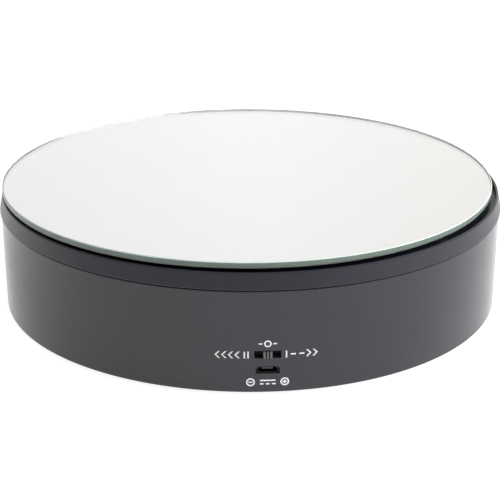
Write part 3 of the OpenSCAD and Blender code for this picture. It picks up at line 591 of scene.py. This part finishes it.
def make_platter():
    """The platter: a middle with the balls' groove and ribs beneath, a channel around it, and a skirt."""
    groove = arc((race_r, race_z), groove_r, *(
        math.degrees(math.atan2(platter_under - race_z, side * groove_half)) for side in (-1, 1)
    ))
    hole_r, middle_wall_r = 4.5, middle_r - 2.4
    platter = build("platter_ring", revolved(outline(
        (hole_r, middle_z, 0.2), (hole_r, platter_under, 0.2), *groove, (middle_wall_r, platter_under),
        (middle_wall_r, channel_under), (skirt_inner_r, channel_under, 0.3), (skirt_inner_r, skirt_z, 0.2),
        (platter_r, skirt_z, 0.3), (rim_outer_r, rim_z, 0.5), (rim_inner_r, rim_z, 0.2),
        (rim_inner_r, channel_z, 0.3), (middle_r, channel_z, 0.3), (middle_r, middle_z, 0.3),
    )))
    rib_count, rib_half, rib_drop = 12, 0.8, 1.8
    add(platter, *[
        (block((inner, -rib_half, platter_under - rib_drop), (outer, rib_half, platter_under + 0.1)),
         turned(360 / rib_count * k))
        for inner, outer in ((20, 60.5), (75.5, middle_r)) for k in range(rib_count)
    ])
    screw_count, screw_reach, head_r, head_depth = 3, 11.5, 2.6, 1.6
    screw_places = [turned(360 / screw_count * k) @ at(screw_reach, 0) for k in range(screw_count)]
    cut(
        platter,
        *[(prism(circle(screw_hole_r), platter_under - 1, middle_z + 1), place) for place in screw_places],
        *[(prism(circle(head_r), middle_z - head_depth, middle_z + 1), place) for place in screw_places],
    )
    return dress(platter, "turntable", "platter_plastic", "platter")


def make_mirror():
    """The glass with its ground edge and bevels, the silver just inside its lower face, and the tape."""
    low, high = glass_low.z, glass_high.z
    centre = at(*glass_centre)
    glass = build("mirror_top", (revolved([
        (0, low), (glass_r - glass_bevel, low), (glass_r, low + glass_bevel),
        (glass_r, high - glass_bevel), (glass_r - glass_bevel, high), (0, high),
    ]), centre))
    for made in (clear_glass, ground_edge, bevel_tint_painted_highlight):
        glass.data.materials.append(made)
    flat, sloped = 0.9, 0.3
    # Flat faces stay clear glass; the upward bevel takes the paler finish, a painted highlight; the rest
    # takes the ground edge
    for face in glass.data.polygons:
        up = face.normal.z
        face.material_index = 0 if abs(up) > flat else 2 if up > sloped else 1
    dress(glass, "turntable", "mirror_glass", "mirror_glass")
    coat_r = glass_r - glass_bevel
    step_r, step_z = coat_r - glass_bevel / 2, coat_high.z + 0.005
    silver = build("mirror_silvering", (revolved([
        (0, coat_low.z), (coat_r, coat_low.z), (coat_r, coat_high.z), (step_r, coat_high.z), (step_r, step_z),
        (0, step_z),
    ]), centre))
    for made in (materials["mirror_silver"], back_paint):
        silver.data.materials.append(made)
    for face in silver.data.polygons:
        face.material_index = 0 if face.normal.z > flat else 1
    dress(silver, "turntable", "mirror_silver", "mirror_coating")
    tape_hole_r = 8
    tape = build("foam_tape", revolved(outline(
        (tape_hole_r, tape_low.z), (tape_hole_r, tape_high.z), (tape_high.x, tape_high.z, 0.1),
        (tape_high.x, tape_low.z, 0.1),
    )))
    dress(tape, "turntable", "foam_tape", "mirror_tape")


# ---- Switch, inlet and printed marks ----


def make_knob():
    """A ribbed knob on a thin shutter that covers the slot wherever the knob stands; the shutter, the knob's
    back and the floors between its ridges are painted near-black as painted shade.
    """
    tip, back = -knob_low.y, -knob_high.y
    ridge_h, ridge_half, ridge_pitch, ridge_round = 0.8, 0.325, 1.15, 0.12
    face = tip - ridge_h
    half_w, half_h = 1.6, 1.15
    ridges = [outline(
        (x - ridge_half, face - 0.5), (x + ridge_half, face - 0.5), (x + ridge_half, tip, ridge_round),
        (x - ridge_half, tip, ridge_round), steps=3,
    ) for x in (-ridge_pitch, 0, ridge_pitch)]
    flip = Matrix.Scale(-1, 4, (0, 1, 0))
    body = outline((-half_w, back), (half_w, back), (half_w, face, 0.2), (-half_w, face, 0.2), steps=4)
    place = at(0, 0, switch_z) @ flip
    knob = build("speed_knob", (prism(body, -half_h, half_h), place))
    add(knob, *[(prism(loop, -half_h, half_h), place) for loop in ridges])
    soften(knob, 0.08, 2, 50)
    shutter_h, shutter_t = 4.2, 0.8
    shutter = rectangle(knob_high.x - knob_low.x, shutter_h, 0.3)
    add(knob, (prism(shutter, back, back + shutter_t), at(0, 0, switch_z) @ ACROSS))
    lever_pocket_end, inside_slot = 97.3, 98.4
    pocket = prism(rectangle(1.7, 1.1, 0.1), back - 1, lever_pocket_end)
    cut(knob, (pocket, at(0, 0, switch_z) @ ACROSS))
    knob.data.materials.append(materials["knob_plastic"])
    knob.data.materials.append(knob_painted_shade)
    # Faces between the ridges and inside the slot take the near-black second finish: painted shade
    for side in knob.data.polygons:
        outwards = -side.center.y / MM
        in_groove = outwards < tip - 0.3 and abs(side.center.x) / MM < ridge_pitch - 0.05
        side.material_index = 1 if in_groove or outwards < inside_slot else 0
    return dress(knob, "speed_slider", "knob_plastic", "switch_knob")


def socket_outline(w, h, corner, rounding):
    x, y = w / 2, h / 2
    return outline(
        (-x, -y, rounding), (x, -y, rounding), (x, y - corner, rounding), (x - corner, y, rounding),
        (corner - x, y, rounding), (-x, y - corner, rounding), steps=4,
    )


def make_socket():
    """The inlet's pressed steel shell, and its tongue with rounded edges."""
    front, back = -shell_low.y, -shell_high.y
    w, h = shell_high.x - shell_low.x, shell_high.z - shell_low.z
    corner, sheet = 0.8, 0.3
    place = at(0, 0, inlet_z) @ ACROSS
    shell = build("inlet_shell", (prism(socket_outline(w, h, corner, 0.3), back, front), place))
    hollow = socket_outline(w - 2 * sheet, h - 2 * sheet, corner, 0.2)
    cut(shell, (prism(hollow, back + 1, front + 1), place))
    soften(shell, 0.06, 2, 60)
    dress(shell, "stand", "socket_steel", "usb_shell")
    low, high = box("usb_tongue")
    section = rectangle(high.x - low.x, high.z - low.z, 0.12)
    tongue = build("inlet_tongue", (prism(section, -high.y, -low.y), place))
    soften(tongue, 0.08, 2, 60)
    dress(tongue, "stand", "socket_plastic", "usb_tongue")


INK_OUT = 0.02  # how far the ink stands out from the wall
INK_IN = 0.05  # how far it reaches into the wall


def on_wall(x, z, lift):
    """The point of the drum's wall at a sideways place and a height, moved outwards."""
    return (x, -math.sqrt((wall_at(z) + lift) ** 2 - x**2), z)


def inked(outer, inner=None):
    """A closed outline of (x, height), or the band between two, as a thin layer on the wall."""
    loops = [outer] if inner is None else [outer, inner]
    corners = [on_wall(x, z, lift) for loop in loops for lift in (INK_OUT, -INK_IN) for x, z in loop]
    n = len(outer)
    faces = []
    for k in range(n):
        m = (k + 1) % n
        faces.append((k, m, n + m, n + k))
        if inner is not None:
            faces.append((2 * n + k, 2 * n + m, 3 * n + m, 3 * n + k))
            faces += [(k, m, 2 * n + m, 2 * n + k), (n + k, n + m, 3 * n + m, 3 * n + k)]
    if inner is None:
        faces += [tuple(range(n)), tuple(range(n, 2 * n))]
    return corners, faces


def bar(x0, x1, z0, z1):
    return inked([(x0, z0), (x1, z0), (x1, z1), (x0, z1)])


def chevron(x, z, h, way, stroke=0.5):
    """A V on its side, whose point is at x."""
    reach, wide = way * h / 2, way * stroke * 1.2
    top = [(x, z), (x - reach, z + h / 2), (x - reach - wide, z + h / 2), (x - wide, z)]
    bottom = [(px, 2 * z - pz) for px, pz in top]
    return [inked(top), inked(bottom)]


def loop_mark(x, z, outer, stroke=0.5):
    rings = [[(x + px, z + pz) for px, pz in circle(r, 40)] for r in (outer, outer - stroke)]
    return inked(*rings)


def make_marks():
    """Generic signs: stopped above the switch, fast and slow beside it, direct current below."""
    half = 0.25  # half the width of a line
    top_z, side_z, side_h = 19.7, 15.5, 2.6
    side_low, side_high = side_z - side_h / 2, side_z + side_h / 2
    stopped = build(
        "print_stop", loop_mark(0, top_z, 1.3), bar(-3.2, -1.9, top_z - half, top_z + half),
        bar(1.9, 3.2, top_z - half, top_z + half),
    )
    arrow_pitch = 2.3
    left_arrows = [part for k in range(4) for part in chevron(-18.5 + arrow_pitch * k, side_z, side_h, -1)]
    right_arrows = [part for k in range(2) for part in chevron(17.6 - arrow_pitch * k, side_z, side_h, 1)]
    fast = build(
        "print_fast", *left_arrows, *[bar(x, x + 2 * half, side_low, side_high) for x in (-8.4, -7.1)]
    )
    dashes = [bar(x, x + 1.8, side_z - half, side_z + half) for x in (8.0, 11.0)]
    slow = build("print_slow", bar(6.3, 6.3 + 2 * half, side_low, side_high), *dashes, *right_arrows)
    low_z, low_h, sign_x, sign_half = 5.0, 3.1, 6.0, 0.7
    thirds = ((-2.75, -0.65), (-0.65, 0.65), (0.65, 2.75))
    solid_line = [bar(start, end, low_z + 0.4, low_z + 0.9) for start, end in thirds]
    broken_line = [bar(x, x + 1.3, low_z - 0.9, low_z - 0.4) for x in (-2.75, -0.65, 1.45)]
    signs = [
        *[loop_mark(x, low_z, low_h / 2) for x in (-sign_x, sign_x)],
        *[bar(x - sign_half, x + sign_half, low_z - half, low_z + half) for x in (-sign_x, sign_x)],
        bar(sign_x - half, sign_x + half, low_z + half, low_z + sign_half),
        bar(sign_x - half, sign_x + half, low_z - sign_half, low_z - half),
    ]
    current = build("print_inlet", *solid_line, *broken_line, *signs)
    for mark in (stopped, fast, slow, current):
        dress(mark, "stand", "drum_plastic", material=ink)


make_drum()
make_base()
make_feet()
make_platter()
make_mirror()
make_knob()
make_socket()
make_marks()

# ---- The CAD nodes that stay take their record slot's finish ----

for part in frame["record"]["subparts"]:
    node = frame["nodes"][part["node"]]
    for place in node.material_slots:
        place.material = materials[part["material_slot"]]

# ---- Floor, light and camera ----


def make_floor():
    """A pale acrylic table, lit from below, so that the stand leaves almost no shadow."""
    reach, top, bottom = 60000, -0.3, -30
    floor = build("floor", revolved([(0, bottom), (reach, bottom), (reach, top), (0, top)], steps=96))
    material = finish("floor", (0.30, 0.30, 0.30), 0.9, vary=0.01, patch=400, rough_vary=0.02, relief=0)
    shader = material.node_tree.nodes["Principled BSDF"]
    shader.inputs["Specular IOR Level"].default_value = 0.0
    shader.inputs["Emission Color"].default_value = (1, 1, 1, 1)
    shader.inputs["Emission Strength"].default_value = 0.88
    floor.data.materials.append(material)


def make_world():
    """A soft white room: bright behind the stand and at its right, and dim low down in front."""
    world = bpy.data.worlds.new("studio")
    world.use_nodes = True
    nodes, links = world.node_tree.nodes, world.node_tree.links
    way = nodes.new("ShaderNodeTexCoord").outputs["Generated"]
    split = nodes.new("ShaderNodeSeparateXYZ")
    links.new(way, split.inputs[0])
    lean = nodes.new("ShaderNodeVectorMath")
    lean.operation = "DOT_PRODUCT"
    lean.inputs[1].default_value = (0.60, 0.80, 0)
    links.new(way, lean.inputs[0])
    low_front = ranged(nodes, links, lean.outputs["Value"], -0.8, 0.45, 0.22, 1.0)
    low_front.node.interpolation_type = "SMOOTHSTEP"
    ceiling = ranged(nodes, links, split.outputs["Z"], 0.18, 0.5, 0.1, 0.7)
    horizon = ranged(nodes, links, split.outputs["Z"], 0.008, 0.02, 1.0, 0.0)
    depth = low_front
    for other in (ceiling, horizon):
        lifted = nodes.new("ShaderNodeMath")
        lifted.operation = "MAXIMUM"
        links.new(depth, lifted.inputs[0])
        links.new(other, lifted.inputs[1])
        depth = lifted.outputs[0]
    height = ranged(nodes, links, split.outputs["Z"], 0.25, 0.45, 1.053, 0.865)
    left = ranged(nodes, links, split.outputs["X"], -0.10, 0.04, 0.935, 1.0)
    right = ranged(nodes, links, split.outputs["X"], 0.08, 0.22, 1.0, 0.945)
    strength = height
    for factor in (depth, left, right):
        product = nodes.new("ShaderNodeMath")
        product.operation = "MULTIPLY"
        links.new(strength, product.inputs[0])
        links.new(factor, product.inputs[1])
        strength = product.outputs[0]
    warmth = ranged(nodes, links, split.outputs["X"], 0.08, 0.24, 0, 1)
    tint = mixed(nodes, links, warmth, (0.99, 0.99, 0.995), (1.0, 0.985, 0.965))
    background = nodes["Background"]
    links.new(tint, background.inputs["Color"])
    links.new(strength, background.inputs["Strength"])
    bpy.context.scene.world = world


def soft_light(name, place, size, power):
    """A rectangular light aimed at the middle of the stand, and kept out of its plain reflections."""
    light = bpy.data.lights.new(name, "AREA")
    light.shape = "RECTANGLE"
    light.size, light.size_y = size
    light.energy = power
    holder = bpy.data.objects.new(name, light)
    holder.location = place
    holder.visible_glossy = False
    aim = Vector((0, 0, 0.03)) - Vector(place)
    holder.rotation_euler = aim.to_track_quat("-Z", "Y").to_euler()
    bpy.context.scene.collection.objects.link(holder)


def make_camera():
    """A long lens in front of the stand, a little to the left, looking down by about 21 degrees."""
    camera = bpy.data.objects.new("camera", bpy.data.cameras.new("camera"))
    camera.data.lens = 104.5
    camera.data.sensor_width = 36
    camera.location = (-0.0341, -0.5548, 0.2300)
    camera.rotation_euler = (math.radians(68.98), math.radians(0.01), math.radians(-3.51))
    bpy.context.scene.collection.objects.link(camera)
    bpy.context.scene.camera = camera


make_floor()
make_world()
soft_light("left_softbox", (-3.0, 0.4, 1.6), (2.4, 2.0), 20)
soft_light("right_softbox", (3.0, -1.0, 1.8), (4.4, 2.6), 400)
make_camera()
bpy.context.scene.view_settings.view_transform = "Standard"
